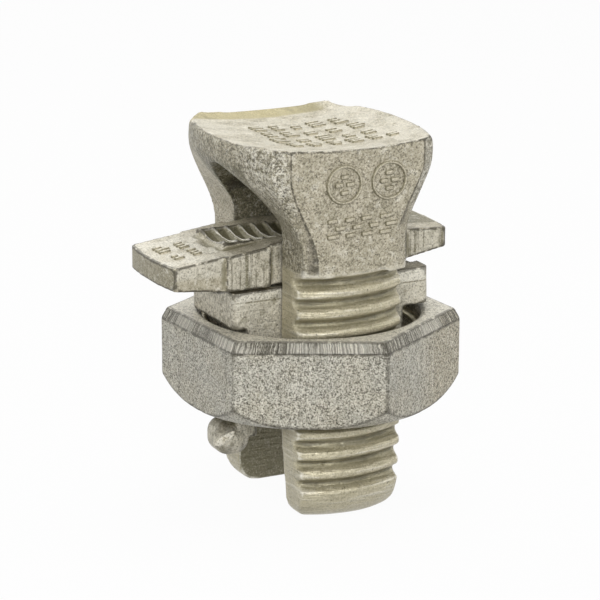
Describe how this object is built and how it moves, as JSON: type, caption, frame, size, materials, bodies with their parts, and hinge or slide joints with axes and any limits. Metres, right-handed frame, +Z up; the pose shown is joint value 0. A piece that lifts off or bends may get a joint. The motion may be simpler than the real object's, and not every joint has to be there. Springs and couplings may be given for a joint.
{
  "type": "split bolt connector",
  "caption": "Slotted bolt that clamps wires in its slot under a sliding spacer and pressure bar when the hex nut is tightened.",
  "frame": {"origin": "on the bolt's thread axis, in the plane of the two leg tips", "axes": "+Z up the bolt from the leg tips to the head, +X along the wires through the slot towards the spacer's short tongue, Y across the slot"},
  "size_m": [0.0322, 0.031, 0.0398],
  "materials": {
    "split_bolt": "tin-plated forging, satin, brighter on the thread and the top",
    "hex_nut": "tin-plated, fine dark speckle in the flats",
    "pressure_bar": "tin-plated forging, satin",
    "spacer_bar": "tin-plated, drawn marks on the sides"
  },
  "bodies": {
    "bolt": {"split_bolt": "split_bolt"},
    "pressure": {"pressure_bar": "pressure_bar"},
    "nut": {"hex_nut": "hex_nut"},
    "spacer": {"spacer_bar": "spacer_bar"}
  },
  "joints": [
    {"name": "pressure_slide", "type": "slide", "parent": "bolt", "child": "pressure", "axis": [0, 0, 1], "range_m": [-0.0106, 0.0015]},
    {"name": "nut_turn", "type": "hinge", "parent": "pressure", "child": "nut", "pos_m": [0, 0, 0.0155], "axis": [0, 0, 1], "range_deg": [-1800, 240]},
    {"name": "spacer_slide", "type": "slide", "parent": "pressure", "child": "spacer", "axis": [0, 0, 1], "range_m": [0, 0.0016]}
  ],
  "couplings": [
    {"joint": "pressure_slide", "follows": "nut_turn", "m_per_rad": 0.00033693}
  ]
}
